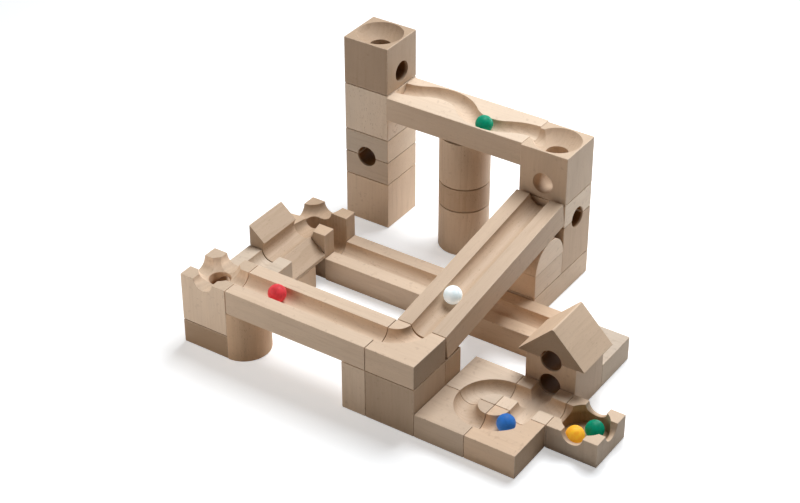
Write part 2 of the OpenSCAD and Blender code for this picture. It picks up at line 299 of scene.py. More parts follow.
def winding_groove(start, arcs, radius):
    """A groove's cutter that starts along +X and follows arcs of (radius, turn to the left)"""
    bm = bmesh.new()
    lead = OVERRUN * X_AXIS
    bmesh.ops.create_circle(
        bm, cap_ends=True, radius=radius, segments=GROOVE_STEPS,
        matrix=Matrix.Translation(start - lead) @ Matrix.Rotation(math.pi / 2, 4, "Y")
        @ HALF_GROOVE_STEP)
    cap = bmesh.ops.extrude_edge_only(bm, edges=bm.edges[:])["geom"]
    bmesh.ops.translate(bm, vec=lead, verts=verts_of(cap))
    place, heading = start, 0.0
    for path_radius, turn in arcs:
        side = Vector((-math.sin(heading), math.cos(heading), 0)) * math.copysign(1, turn)
        centre = place + side * path_radius
        cap = bmesh.ops.spin(
            bm, geom=[g for g in cap if not isinstance(g, bmesh.types.BMFace)], cent=centre,
            axis=Z_AXIS, angle=turn, steps=max(8, round(abs(turn) * STEPS_A_RADIAN)))["geom_last"]
        place = centre + Matrix.Rotation(turn, 3, "Z") @ (place - centre)
        heading += turn
    cap = bmesh.ops.extrude_edge_only(bm, edges=edges_of(cap))["geom"]
    bmesh.ops.translate(bm, vec=lead, verts=verts_of(cap))
    bmesh.ops.contextual_create(bm, geom=edges_of(cap))
    return bm


def drop_cutter(elbow, radius, height):
    """An upright hole that ends in a ball at its elbow"""
    bm = bmesh.new()
    foot = bm.verts.new(elbow - radius * Z_AXIS)
    arc = bmesh.ops.spin(bm, geom=[foot], cent=elbow, axis=-Y_AXIS, angle=math.pi / 2,
                         steps=FINE_STEPS // 4)["geom_last"]
    wall = bmesh.ops.extrude_vert_indiv(bm, verts=verts_of(arc))
    bmesh.ops.translate(bm, vec=height * Z_AXIS, verts=wall["verts"])
    lid = bmesh.ops.extrude_vert_indiv(bm, verts=wall["verts"])
    bmesh.ops.translate(bm, vec=-radius * X_AXIS, verts=lid["verts"])
    bmesh.ops.rotate(bm, cent=elbow, matrix=HALF_STEP.to_3x3(), verts=bm.verts)
    spin_round(bm, elbow)
    bmesh.ops.remove_doubles(bm, verts=bm.verts, dist=1e-7)
    return bm


def slot_cutter(start, length, radius, height):
    """A deep slot along +X with a half-round floor"""
    bm = bmesh.new()
    edge = bm.verts.new(start - radius * Y_AXIS)
    floor = bmesh.ops.spin(bm, geom=[edge], cent=start, axis=X_AXIS, angle=math.pi,
                           steps=SLOT_STEPS)["geom_last"]
    walls = bmesh.ops.extrude_vert_indiv(bm, verts=[edge] + verts_of(floor))
    bmesh.ops.translate(bm, vec=height * Z_AXIS, verts=walls["verts"])
    bm.edges.new(walls["verts"])
    face = bmesh.ops.contextual_create(bm, geom=bm.edges[:])["faces"]
    run = bmesh.ops.extrude_face_region(bm, geom=face)
    bmesh.ops.translate(bm, vec=length * X_AXIS, verts=verts_of(run["geom"]))
    return bm


def carve(body, cutters):
    """Cuts the cutters' bmeshes out of the body's bmesh, and gives the result back"""
    block = piece_object("block", body)
    tools = [piece_object("cutter", c) for c in cutters]
    tray = bpy.data.collections.new("Cutters")
    for tool in tools:
        tray.objects.link(tool)
    cut = block.modifiers.new("Cut", "BOOLEAN")
    cut.operation, cut.solver = "DIFFERENCE", "EXACT"
    cut.operand_type, cut.collection = "COLLECTION", tray
    graph = bpy.context.evaluated_depsgraph_get()
    bm = bmesh.new()
    bm.from_mesh(block.evaluated_get(graph).to_mesh())
    for obj in [block] + tools:
        mesh = obj.data
        bpy.data.objects.remove(obj)
        bpy.data.meshes.remove(mesh)
    bpy.data.collections.remove(tray)
    bmesh.ops.remove_doubles(bm, verts=bm.verts, dist=2e-6)
    bmesh.ops.dissolve_degenerate(bm, edges=bm.edges, dist=1e-6)
    return bm


def soften_rims(bm, radius):
    """Rounds what is still sharp: the rims that the cutters left"""
    sharp = [e for e in bm.edges if len(e.link_faces) == 2 and abs(e.calc_face_angle()) > SHARP]
    if sharp:
        round_edges(bm, sharp, radius, steps=2)
    return bm


# Turns that bring the grain's way to Z
GRAIN_TURN = {
    "x": Matrix(((0, 1, 0), (0, 0, 1), (1, 0, 0))),
    "y": Matrix(((0, 0, 1), (1, 0, 0), (0, 1, 0))),
    "z": Matrix.Identity(3),
    "upright": Matrix(((0, 1, 0), (-1, 0, 0), (0, 0, 1))),
}
# Each block's plank: its grain's way, shade and warmth, how much paler its end faces are, its
# flecks
# The end paleness is partly the end grain's own tone and partly painted light and shade on those
# faces
Plank = namedtuple("Plank", "grain shade warmth paleness flecks", defaults=(0.0, 1.0))
PLANKS = {
    "tower1_foot_cube": Plank("z", 0.05, 0.04),
    "tower1_tunnel_floor": Plank("x", -0.16, -0.01, 0.45),
    "tower1_tunnel_cap": Plank("x", -0.07, -0.06, 0.45),
    "tower1_cube": Plank("upright", 0.22, -0.06, flecks=3.0),
    "funnel_cube": Plank("z", -0.38, 0.07),
    "curvy_track": Plank("x", 0.01, -0.01),
    "column_foot": Plank("z", 0.03, 0.01),
    "column_disc": Plank("z", -0.22, 0.07),
    "column_top": Plank("z", -0.01, 0.02),
    "tower2_base_board": Plank("y", 0.04, 0.04),
    "tower2_tunnel_cube": Plank("z", -0.16, 0.08),
    "tower2_tunnel_cap": Plank("y", 0.32, -0.03),
    "drop_cube": Plank("z", -0.04, 0.02, -0.07),
    "arch_support": Plank("y", 0.08, 0.01, 0.16, 1.6),
    "arch_block": Plank("y", 0.32, -0.02),
    "ramp": Plank("y", -0.16, 0.05),
    "corner_cube": Plank("z", -0.28, 0.07),
    "corner_prop_left": Plank("z", 0.05, 0.01),
    "corner_prop_back": Plank("z", -0.4, 0.14),
    "corner_curve": Plank("x", -0.01, 0.04, -0.4),
    "front_track": Plank("x", 0.02, 0.02),
    "front_leg": Plank("z", -0.02, 0.14),
    "castle_base": Plank("x", -0.4, 0.14),
    "castle_drop": Plank("z", 0.26, 0.0, -0.25),
    "link_track": Plank("x", 0.01, -0.05),
    "link_prop": Plank("x", 0.0, 0.0),
    "wedge_track": Plank("y", -0.2, 0.04, -0.27),
    "wedge_support": Plank("x", 0.15, 0.03, -0.04),
    "castle_turn": Plank("z", -0.32, 0.05, 0.45),
    "lower_track_long": Plank("x", -0.01, 0.01),
    "lower_track_short": Plank("x", -0.05, 0.08),
    "end_curve": Plank("x", -0.17, -0.05, 0.36),
    "house": Plank("z", -0.12, 0.04),
    "roof": Plank("y", -0.06, 0.06, -0.4),
    "swirl_front_left": Plank("x", -0.13, 0.03),
    "swirl_front_right": Plank("x", 0.01, 0.09, -0.27),
    "swirl_back_left": Plank("x", 0.02, -0.01, flecks=1.3),
    "crossing": Plank("y", 0.23, 0.0),
    "tray": Plank("z", -0.11, 0.01, 0.29),
}
PLANK_REACH = (40, 40, 300)  # How far apart in their planks blocks were cut, in millimetres
# The holes whose walls lie in the dark and get painted shade: the ways they run in, along X and Y,
# and down
SHADED_HOLES = {
    "tower1_tunnel_floor": (0, 1, 0), "tower1_tunnel_cap": (0, 1, 0),
    "tower2_tunnel_cube": (1, 0, 0), "tower2_tunnel_cap": (1, 0, 0),
    "house": (0, 1, 0), "roof": (0, 1, 0),
    "funnel_cube": (0, 0, 1), "castle_drop": (0, 0, 1), "tray": (0, 0, 0.6),
}


def finish_block(node, bm, place=None):
    """Makes the block's piece: its grain, edge and milling attributes, its finish and its body"""
    plank = PLANKS[node]
    obj = piece_object(node + "_wood", bm)
    mesh = obj.data
    place = place or Matrix.Identity(4)
    flat = place.inverted()
    co = np.array([flat @ v.co for v in mesh.vertices])
    lo, hi = co.min(0), co.max(0)
    centre, half = (lo + hi) / 2, (hi - lo) / 2
    seed = sum(ord(c) * (i + 1) for i, c in enumerate(node))
    offset = np.random.default_rng(seed).uniform(-1, 1, 3) * PLANK_REACH
    turn = np.array(GRAIN_TURN[plank.grain])
    inner = (co - centre) / MM

    def store(name, values):
        """Keeps one vector for each point, or the same one for all"""
        layer = mesh.attributes.new(name, "FLOAT_VECTOR", "POINT")
        spread = np.broadcast_to(np.asarray(values, np.float32), co.shape)
        layer.data.foreach_set("vector", spread.ravel())

    store("grain_place", inner @ turn.T + offset)
    store("block_place", inner)
    store("block_half", half / MM)
    store("grain_axis", np.array(place.to_3x3()) @ turn.T @ (0, 0, 1))
    store("block_tone_and_end_light", (plank.shade, plank.warmth, plank.paleness))
    store("fleck_share", (plank.flecks, 0, 0))
    store("hole_shade_ways", SHADED_HOLES.get(node, (0, 0, 0)))
    # Faces inside the block's box were milled, apart from the roof's slopes
    milled = mesh.attributes.new("milled", "FLOAT", "FACE")
    for face in mesh.polygons:
        spot = flat @ face.center
        depth = min(min(spot[i] - lo[i], hi[i] - spot[i]) for i in range(3))
        sloped = node == "roof" and face.normal.z > 0.3
        milled.data[face.index].value = 1.0 if depth > MILLED_DEPTH and not sloped else 0.0
    mesh.shade_smooth()
    obj.modifiers.new("Flat faces stay flat", "WEIGHTED_NORMAL").weight = 90
    mesh.materials.append(bpy.data.materials["Beech"])
    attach(obj, BODY_OF[node])
    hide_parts(node)


def block_body(node, sizes, open_ends=Vector()):
    """A block's body, kept back from its neighbours by the seam, and more at open ends"""
    lo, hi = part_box(node)
    keep = Vector((sizes.seam, sizes.seam, LEVEL_SEAM * sizes.seam)) + open_ends
    return cuboid(lo + keep, hi - keep, sizes.edge)


def plain(node, sizes):
    """Makes a block that nothing is cut from"""
    finish_block(node, block_body(node, sizes))


def carved(node, sizes, cutters, body=None):
    """Makes a block that cutters are taken out of, and softens the rims they leave"""
    bm = carve(body or block_body(node, sizes), cutters)
    finish_block(node, soften_rims(bm, sizes.rim))


def half_bar(node, sizes, flat):
    """Makes half of a round bar, with its flat on the low side of its box along X (0) or Z (2)"""
    lo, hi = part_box(node)
    start = Vector((lo.x, (lo.y + hi.y) / 2, lo.z))
    end = start.copy()
    end[2 - flat] = hi[2 - flat]
    radius = hi[flat] - lo[flat]
    grow = Vector((2 * radius,) * 3)
    slab_lo, slab_hi = start - grow, end + grow
    slab_hi[flat] = start[flat]
    carved(node, sizes, [cuboid(slab_lo, slab_hi)], rod(start, end, radius, sizes.edge))


def at(node, x, y, z):
    """A point in a block's box: 0 is its low side and 1 its high side"""
    lo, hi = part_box(node)
    return Vector((lo.x + (hi.x - lo.x) * x, lo.y + (hi.y - lo.y) * y, lo.z + (hi.z - lo.z) * z))


def groove_x(node, sizes, height=1):
    """A straight groove along X through the whole block. Its axis lies at a height of the box."""
    run = OVERRUN * X_AXIS
    return rod(at(node, 0, 0.5, height) - run, at(node, 1, 0.5, height) + run, sizes.groove)


def groove_y(node, sizes, height=1):
    """The same along Y"""
    run = OVERRUN * Y_AXIS
    return rod(at(node, 0.5, 0, height) - run, at(node, 0.5, 1, height) + run, sizes.groove)


def bend(node, sizes, x, y):
    """A groove that bends round one corner of a block, from side to side"""
    lo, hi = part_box(node)
    return ring(at(node, x, y, 1), (hi.x - lo.x) / 2, sizes.groove)


def dish(node, rim, depth):
    """The ball that hollows a funnel"""
    big = (rim ** 2 + depth ** 2) / (2 * depth)
    return ball(at(node, 0.5, 0.5, 1) + (big - depth) * Z_AXIS, big)


def drop_hole(node, sizes, rise, way):
    """A drop hole and its exit towards one side"""
    lo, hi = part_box(node)
    elbow = Vector(((lo.x + hi.x) / 2, (lo.y + hi.y) / 2, lo.z + rise))
    reach = (hi.x - lo.x) / 2 + OVERRUN
    way_out = rod(elbow, elbow + reach * way, sizes.groove - SLIM)
    return [drop_cutter(elbow, sizes.groove, hi.z - lo.z), way_out]


# Shader groups that the materials share


def shader_group(name, inputs, outputs):
    """A node group, what it is given and its outlet. An input without a value is a place."""
    group = bpy.data.node_groups.new(name, "ShaderNodeTree")
    for label, value in inputs.items():
        kind = "NodeSocketVector" if value is None else "NodeSocketFloat"
        socket = group.interface.new_socket(name=label, in_out="INPUT", socket_type=kind)
        if value is not None:
            socket.default_value = value
    for label in outputs:
        group.interface.new_socket(name=label, in_out="OUTPUT", socket_type="NodeSocketFloat")
    given = group.nodes.new("NodeGroupInput")
    return group, given.outputs, group.nodes.new("NodeGroupOutput")


class Wiring:
    """Adds and joins nodes of one tree"""

    def __init__(self, tree):
        self.tree = tree

    def node(self, kind, **settings):
        made = self.tree.nodes.new(kind)
        for key, value in settings.items():
            setattr(made, key, value)
        return made

    def fill(self, node, values):
        """Joins sockets to a node's inputs, and sets plain values on them"""
        for key, value in values.items():
            if isinstance(value, bpy.types.NodeSocket):
                self.tree.links.new(value, node.inputs[key])
            else:
                node.inputs[key].default_value = value

    def math(self, operation, *values):
        made = self.node("ShaderNodeMath", operation=operation)
        self.fill(made, dict(enumerate(values)))
        return made.outputs[0]

    def plus(self, a, b):
        return self.math("ADD", a, b)

    def minus(self, a, b):
        return self.math("SUBTRACT", a, b)

    def times(self, first, *others):
        for value in others:
            first = self.math("MULTIPLY", first, value)
        return first

    def vector(self, operation, *values):
        made = self.node("ShaderNodeVectorMath", operation=operation)
        self.fill(made, dict(enumerate(values)))
        return made.outputs["Value" if operation == "DOT_PRODUCT" else "Vector"]

    def noise(self, vector, scale, detail=2.0, rough=0.5, distortion=0.0):
        made = self.node("ShaderNodeTexNoise")
        self.fill(made, {"Vector": vector, "Scale": scale, "Detail": detail, "Roughness": rough,
                         "Distortion": distortion})
        return made.outputs["Fac"]

    def drawn_out(self, place, *shares, **settings):
        """Noise on a place that is stretched along its axes"""
        return self.noise(self.vector("MULTIPLY", place, shares), 1.0, **settings)

    def ramp(self, value, low, high, to_low=0.0, to_high=1.0, smooth=True):
        kind = "SMOOTHSTEP" if smooth else "LINEAR"
        made = self.node("ShaderNodeMapRange", interpolation_type=kind)
        self.fill(made, {"Value": value, "From Min": low, "From Max": high, "To Min": to_low,
                         "To Max": to_high})
        return made.outputs["Result"]

    def mix(self, share, a, b, blend="MIX"):
        made = self.node("ShaderNodeMix", data_type="RGBA", blend_type=blend)
        self.fill(made, {"Factor": share, 6: a, 7: b})
        return made.outputs[2]

    def parts(self, vector):
        made = self.node("ShaderNodeSeparateXYZ")
        self.fill(made, {0: vector})
        return made.outputs

    def joined(self, x, y, z):
        made = self.node("ShaderNodeCombineXYZ")
        self.fill(made, {0: x, 1: y, 2: z})
        return made.outputs[0]

    def inset(self, place, half):
        """How far a place lies inside a box round the origin, along each axis"""
        return self.parts(self.vector("SUBTRACT", half, self.vector("ABSOLUTE", place)))

    def attribute(self, name, output="Vector"):
        return self.node("ShaderNodeAttribute", attribute_name=name).outputs[output]

    def coordinates(self, output):
        return self.node("ShaderNodeTexCoord").outputs[output]

    def group(self, tree, values):
        made = self.node("ShaderNodeGroup", node_tree=tree)
        self.fill(made, values)
        return made.outputs

    def bump(self, height, strength, distance):
        made = self.node("ShaderNodeBump")
        self.fill(made, {"Strength": strength, "Distance": distance, "Height": height})
        return made.outputs["Normal"]


def grain_group():
    """Growth rings, fibres, flecks, streaks and drift, from millimetres with the grain along Z"""
    group, given, out = shader_group(
        "Beech grain", {"Place": None, "Ring spacing": 4.2},
        ("Rings", "Fibres", "Flecks", "Streaks", "Drift"))
    w = Wiring(group)
    place = given["Place"]
    pith_off, sway_width = 95.0, 16.0
    slow = w.vector("MULTIPLY", place, (1.0, 1.0, 0.25))
    sway = w.times(w.minus(w.noise(slow, 0.035), 0.5), sway_width)
    x, y, _ = w.parts(place)
    across = w.plus(w.math("POWER", w.plus(x, pith_off), 2.0), w.math("POWER", y, 2.0))
    turns = w.math("DIVIDE", w.plus(w.math("SQRT", across), sway), given["Ring spacing"])
    step = w.math("FRACT", turns)
    late_wood = w.times(w.ramp(step, 0.25, 0.92), w.ramp(step, 1.0, 0.94))
    which = w.node("ShaderNodeTexWhiteNoise", noise_dimensions="1D")
    w.fill(which, {"W": w.math("FLOOR", turns)})
    strength = w.plus(w.times(which.outputs["Value"], 0.7), 0.3)
    fibres = w.drawn_out(place, 2.4, 2.4, 0.09, detail=3.0, rough=0.6)
    rays = w.drawn_out(place, 0.22, 1.15, 0.26, detail=1.0)
    patchy = w.noise(place, 0.06, detail=1.0)
    streaks = w.drawn_out(place, 0.30, 0.30, 0.02, detail=3.0, rough=0.6)
    w.fill(out, {
        "Rings": w.times(late_wood, strength),
        "Fibres": w.ramp(fibres, 0.3, 0.7, smooth=False),
        "Flecks": w.times(w.ramp(rays, 0.60, 0.74), w.ramp(patchy, 0.30, 0.62)),
        "Streaks": w.ramp(streaks, 0.50, 0.74),
        "Drift": w.noise(slow, 0.045)})
    return group


def edge_group():
    """How near a point is to the block's outer edges, for the painted edge highlight and the worn
    chips, broken up unevenly
    """
    group, given, out = shader_group(
        "Edge wear", {"Place": None, "Half size": None, "Width": 1.2, "Unevenness": 0.8},
        ("Edge", "Worn"))
    w = Wiring(group)
    place, width = given["Place"], given["Width"]
    inset = w.inset(place, given["Half size"])
    low, high = w.math("MINIMUM", inset[0], inset[1]), w.math("MAXIMUM", inset[0], inset[1])
    second = w.math("MINIMUM", high, w.math("MAXIMUM", low, inset[2]))
    rough = w.times(w.minus(w.noise(place, 0.35, detail=3.0), 0.5), given["Unevenness"])
    near = w.plus(second, w.times(rough, 2.0))
    chips = w.ramp(w.noise(place, 0.22, detail=4.0, rough=0.7), 0.56, 0.70)
    w.fill(out, {
        # Edge is where the painted highlight and pale wear lie; Worn is where grime sits in dents
        "Edge": w.ramp(near, 0.0, width, 1.0, 0.0),
        "Worn": w.times(w.ramp(near, 0.2, w.times(width, 1.6), 1.0, 0.0), chips)})
    return group


def scuff_group():
    """Fine scuffs and cloudiness of frosted glass"""
    group, given, out = shader_group("Scuffs", {"Place": None}, ("Scuffs", "Clouds"))
    w = Wiring(group)
    w.fill(out, {
        "Scuffs": w.noise(given["Place"], 2400.0, detail=3.0, rough=0.6),
        "Clouds": w.noise(given["Place"], 160.0, distortion=0.8)})
    return group


def new_material(name):
    """A material, the wiring of its tree and its shader"""
    material = bpy.data.materials.new(name)
    material.use_nodes = True
    tree = material.node_tree
    return material, Wiring(tree), tree.nodes["Principled BSDF"]


def shaded(colour, *shares):
    """A socket's colour: red, green and blue times one share, or each times its own, and 1"""
    return tuple(min(1, c * s) for c, s in zip(colour, shares * 3)) + (1,)


def beech_material(finish, grain, edges):
    """Bare beech, whose grain, tone, milling and painted shade in its holes each block's attributes
    tell; its edges get a painted highlight
    """
    _, w, shader = new_material("Beech")
    grain_place, block_place = w.attribute("grain_place"), w.attribute("block_place")
    half = w.attribute("block_half")
    figure = w.group(grain, {"Place": grain_place})
    rim = w.group(edges, {"Place": block_place, "Half size": half})
    milled = w.attribute("milled", "Fac")
    along = w.vector("DOT_PRODUCT", w.coordinates("Normal"), w.attribute("grain_axis"))
    end = w.ramp(w.math("ABSOLUTE", along), 0.55, 0.95)
    strength, wear_and_sheen = finish.grain, finish.wear_and_sheen
    deeper, fleck = shaded(finish.beech, 0.84, 0.79, 0.73), shaded(finish.fleck, 1)

    ring_share = w.ramp(milled, 0.0, 1.0, 0.16 * strength, 0.45 * strength)
    fleck_share = w.ramp(end, 0.0, 1.0, 0.22 * strength, 0.14 * strength)
    block_flecks = w.parts(w.attribute("fleck_share"))[0]
    # End grain drinks in more light, and shows its pores
    pores = w.ramp(w.noise(grain_place, 2.2, detail=1.0), 0.62, 0.72)
    # A milled groove tears its fibres out in short dark dashes
    dashes = w.ramp(w.drawn_out(grain_place, 1.1, 1.1, 0.35, rough=0.6), 0.60, 0.72)
    patch = w.ramp(w.noise(block_place, 0.055, detail=1.0), 0.38, 0.58)
    torn = w.times(dashes, patch, milled)
    colour = w.mix(
        w.ramp(figure["Drift"], 0.25, 0.75), shaded(finish.beech, 1.09), shaded(finish.beech, 1))
    for share, tint in (
            (w.times(figure["Rings"], ring_share), deeper),
            (w.times(w.minus(1.0, figure["Fibres"]), 0.22 * strength), deeper),
            (w.times(figure["Streaks"], 0.40 * strength), deeper),
            (w.times(figure["Flecks"], fleck_share, block_flecks), fleck),
            (w.times(end, 0.34), shaded(finish.beech, 0.80, 0.74, 0.66)),
            (w.times(pores, end, 0.30), fleck),
            (w.times(torn, 0.55), fleck)):
        colour = w.mix(share, colour, tint)
    # Each block came from its own plank
    tone = w.parts(w.attribute("block_tone_and_end_light"))
    # End faces get paler or darker: partly the end grain's own tone, partly painted light and shade
    # on that side of the block
    shade, end_face_factor_with_light = w.plus(1.0, tone[0]), w.plus(1.0, w.times(end, tone[2]))
    warm, cool = w.plus(1.0, tone[1]), w.minus(1.0, tone[1])
    for scale in (w.joined(w.times(shade, warm), shade, w.times(shade, cool)),
                  w.joined(end_face_factor_with_light, end_face_factor_with_light, end_face_factor_with_light)):
        colour = w.mix(1.0, colour, scale, "MULTIPLY")
    # Painted shade: drilled and hidden walls turn dark brown deeper inside their holes, where shade
    # falls
    ways, inset = w.parts(w.attribute("hole_shade_ways")), w.inset(block_place, half)
    along_x, along_y = (w.times(ways[i], w.ramp(inset[i], 0.2, 3.0)) for i in (0, 1))
    sunk = w.ramp(w.parts(block_place)[2], 9.0, 3.0)
    down = w.times(ways[2], sunk, w.ramp(w.math("MINIMUM", inset[0], inset[1]), 0.5, 5.0))
    hole_shade_share = w.times(milled, w.math("MAXIMUM", down, w.math("MAXIMUM", along_x, along_y)))
    colour = w.mix(hole_shade_share, colour, w.mix(1.0, colour, (0.34, 0.20, 0.075, 1), "MULTIPLY"))
    # Painted highlight along the outer edges, partly pale wear, with grime in their dents
    colour = w.mix(w.times(rim["Edge"], 0.70 * wear_and_sheen), colour, shaded(finish.beech, 1.22))
    colour = w.mix(w.times(rim["Worn"], 0.75 * wear_and_sheen), colour, shaded(finish.fleck, 0.9))
    rough = w.plus(w.times(figure["Fibres"], -0.10), 0.62)
    height = w.plus(w.times(figure["Fibres"], 0.5), w.times(figure["Flecks"], -0.8))
    height = w.plus(height, w.times(w.plus(torn, rim["Worn"]), -1.4))
    w.fill(shader, {
        "Base Color": colour, "Roughness": w.plus(rough, w.times(end, 0.12)),
        "Specular IOR Level": 0.32, "Normal": w.bump(height, 0.35, 0.12 * MM)})


def glass_material(name, colour, scuffs):
    """Coloured glass, frosted all over. Its glow is painted light, standing in for the light it
    gathers all round.
    """
    _, w, shader = new_material(name)
    marks = w.group(scuffs, {"Place": w.coordinates("Object")})
    body = w.mix(w.ramp(marks["Clouds"], 0.3, 0.7), shaded(colour, 0.86), shaded(colour, 1.10))
    # Painted glow: the emission lights the glass though it is no lamp
    w.fill(shader, {
        "Base Color": body, "Emission Color": body, "Emission Strength": 0.34,
        "Roughness": w.ramp(marks["Scuffs"], 0.2, 0.8, 0.36, 0.50, smooth=False),
        "Specular IOR Level": 0.12, "Subsurface Weight": 0.6, "Subsurface Scale": 4 * MM,
        "Subsurface Radius": (1.0, 1.0, 1.0), "Normal": w.bump(marks["Scuffs"], 0.25, 0.05 * MM)})


def table_material():
    """White, with a glow that only the camera sees, so that the table runs out into white"""
    material, w, shader = new_material("White table")
    white = {"Base Color": (0.80, 0.80, 0.80, 1), "Roughness": 0.9, "Specular IOR Level": 0.0}
    w.fill(shader, white)
    glow, both = w.node("ShaderNodeEmission"), w.node("ShaderNodeAddShader")
    w.fill(glow, {"Color": (1, 1, 1, 1), "Strength": 0.45})
    w.fill(both, {0: shader.outputs[0], 1: glow.outputs[0]})
    seen, pick = w.node("ShaderNodeLightPath"), w.node("ShaderNodeMixShader")
    w.fill(pick, {0: seen.outputs["Is Camera Ray"], 1: shader.outputs[0], 2: both.outputs[0]})
    w.fill(material.node_tree.nodes["Material Output"], {"Surface": pick.outputs[0]})
    return material


# Operators: one for the finishes, one for each group of pieces, one for the stage


class MARBLERUN_OT_finishes(Operator):
    """Makes the beech and the coloured glass"""

    bl_idname = "marble_run.finishes"
    bl_label = "Finishes"

    def execute(self, context):
        finish = context.scene.marble_run_finish
        beech_material(finish, grain_group(), edge_group())
        scuffs = scuff_group()
        for name in ("red", "white", "green", "blue", "yellow"):
            glass_material(name.capitalize() + " glass", tuple(getattr(finish, name)), scuffs)
        return {"FINISHED"}


class MARBLERUN_OT_funnel_tower(Operator):
    """Makes the tower of five blocks with the funnel on top"""

    bl_idname = "marble_run.funnel_tower"
    bl_label = "Funnel tower"

    def execute(self, context):
        sizes = context.scene.marble_run_sizes
        plain("tower1_foot_cube", sizes)
        for node, height in (("tower1_tunnel_floor", 1), ("tower1_tunnel_cap", 0)):
            carved(node, sizes, [groove_y(node, sizes, height)])
        plain("tower1_cube", sizes)
        node = "funnel_cube"
        cutters = [dish(node, sizes.bowl_rim, sizes.bowl_depth)]
        carved(node, sizes, cutters + drop_hole(node, sizes, sizes.exit_rise, X_AXIS))
        return {"FINISHED"}


class MARBLERUN_OT_curvy_line(Operator):
    """Makes the curvy track and the round column under it"""

    bl_idname = "marble_run.curvy_line"
    bl_label = "Curvy track and column"

    def execute(self, context):
        sizes = context.scene.marble_run_sizes
        lo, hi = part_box("curvy_track")
        half_span = (hi.x - lo.x) / 2
        swing = (hi.y - lo.y) / 2 - sizes.groove - sizes.crest_rim
        lead = sizes.crest_place * half_span
        lead_turn = 2 * math.atan(swing / lead)
        cross_turn = 2 * math.atan(swing / (half_span - lead))
        crest = swing / (1 - math.cos(cross_turn))
        start = swing / (1 - math.cos(lead_turn)) - crest
        arcs = [(start, lead_turn), (crest, -lead_turn - cross_turn),
                (crest, cross_turn + lead_turn), (start, -lead_turn)]
        groove = winding_groove(at("curvy_track", 0, 0.5, 1), arcs, sizes.groove)
        carved("curvy_track", sizes, [groove])
        keep = POST_SEAM * sizes.seam * Z_AXIS
        for node in ("column_foot", "column_disc", "column_top"):
            lo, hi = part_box(node)
            foot, top = at(node, 0.5, 0.5, 0) + keep, at(node, 0.5, 0.5, 1) - keep
            finish_block(node, rod(foot, top, (hi.x - lo.x) / 2 - sizes.seam, sizes.edge))
        return {"FINISHED"}


class MARBLERUN_OT_drop_tower(Operator):
    """Makes the tower whose top cube drops the marble onto the ramp"""

    bl_idname = "marble_run.drop_tower"
    bl_label = "Drop tower"

    def execute(self, context):
        sizes = context.scene.marble_run_sizes
        plain("tower2_base_board", sizes)
        for node, height in (("tower2_tunnel_cube", 1), ("tower2_tunnel_cap", 0)):
            carved(node, sizes, [groove_x(node, sizes, height)])
        node = "drop_cube"
        entry = rod(at(node, 0, 0.5, 1) - OVERRUN * X_AXIS, at(node, 0.5, 0.5, 1), sizes.groove)
        cutters = [dish(node, sizes.bowl_rim, sizes.bowl_depth), entry]
        carved(node, sizes, cutters + drop_hole(node, sizes, sizes.exit_rise, -Y_AXIS))
        return {"FINISHED"}


class MARBLERUN_OT_ramp(Operator):
    """Makes the leaning ramp, its arch and the block under the arch"""

    bl_idname = "marble_run.ramp"
    bl_label = "Ramp and arch"

    def execute(self, context):
        sizes = context.scene.marble_run_sizes
        plain("arch_support", sizes)
        half_bar("arch_block", sizes, 2)

        # The ramp is made level with its foot on the corner, then leant
        lo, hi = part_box("ramp")
        side = hi.x - lo.x
        thick, long = side / 2, 4 * side
        lean = 0.0
        for _ in range(8):
            lean = math.asin(thick / (long * math.cos(lean) + sizes.ramp_gap - thick))
        foot = Vector((lo.x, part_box("corner_cube")[1].y + sizes.ramp_gap + thick * math.sin(lean),
                       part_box("corner_prop_back")[1].z + sizes.ramp_gap))
        near, far = Vector((sizes.seam, 0, 0)), Vector((side - sizes.seam, long, thick))
        groove = rod(
            Vector((thick, -OVERRUN, thick)), Vector((thick, long + OVERRUN, thick)), sizes.groove)
        bm = soften_rims(carve(cuboid(near, far, sizes.edge), [groove]), sizes.rim)
        place = Matrix.Translation(foot) @ Matrix.Rotation(lean, 4, "X")
        bmesh.ops.transform(bm, matrix=place, verts=bm.verts)
        finish_block("ramp", bm, place)
        return {"FINISHED"}


class MARBLERUN_OT_corner(Operator):
    """Makes the corner block with its quarter turn, and the blocks that hold it up"""

    bl_idname = "marble_run.corner"
    bl_label = "Corner"

    def execute(self, context):
        sizes = context.scene.marble_run_sizes
        for node in ("corner_cube", "corner_prop_left", "corner_prop_back"):
            plain(node, sizes)
        carved("corner_curve", sizes, [bend("corner_curve", sizes, 0, 1)])
        return {"FINISHED"}


class MARBLERUN_OT_front_line(Operator):
    """Makes the front track and its half-round leg"""

    bl_idname = "marble_run.front_line"
    bl_label = "Front track"

    def execute(self, context):
        sizes = context.scene.marble_run_sizes
        body = block_body("front_track", sizes, open_ends=0.25 * MM * X_AXIS)
        carved("front_track", sizes, [groove_x("front_track", sizes)], body)
        half_bar("front_leg", sizes, 0)
        return {"FINISHED"}


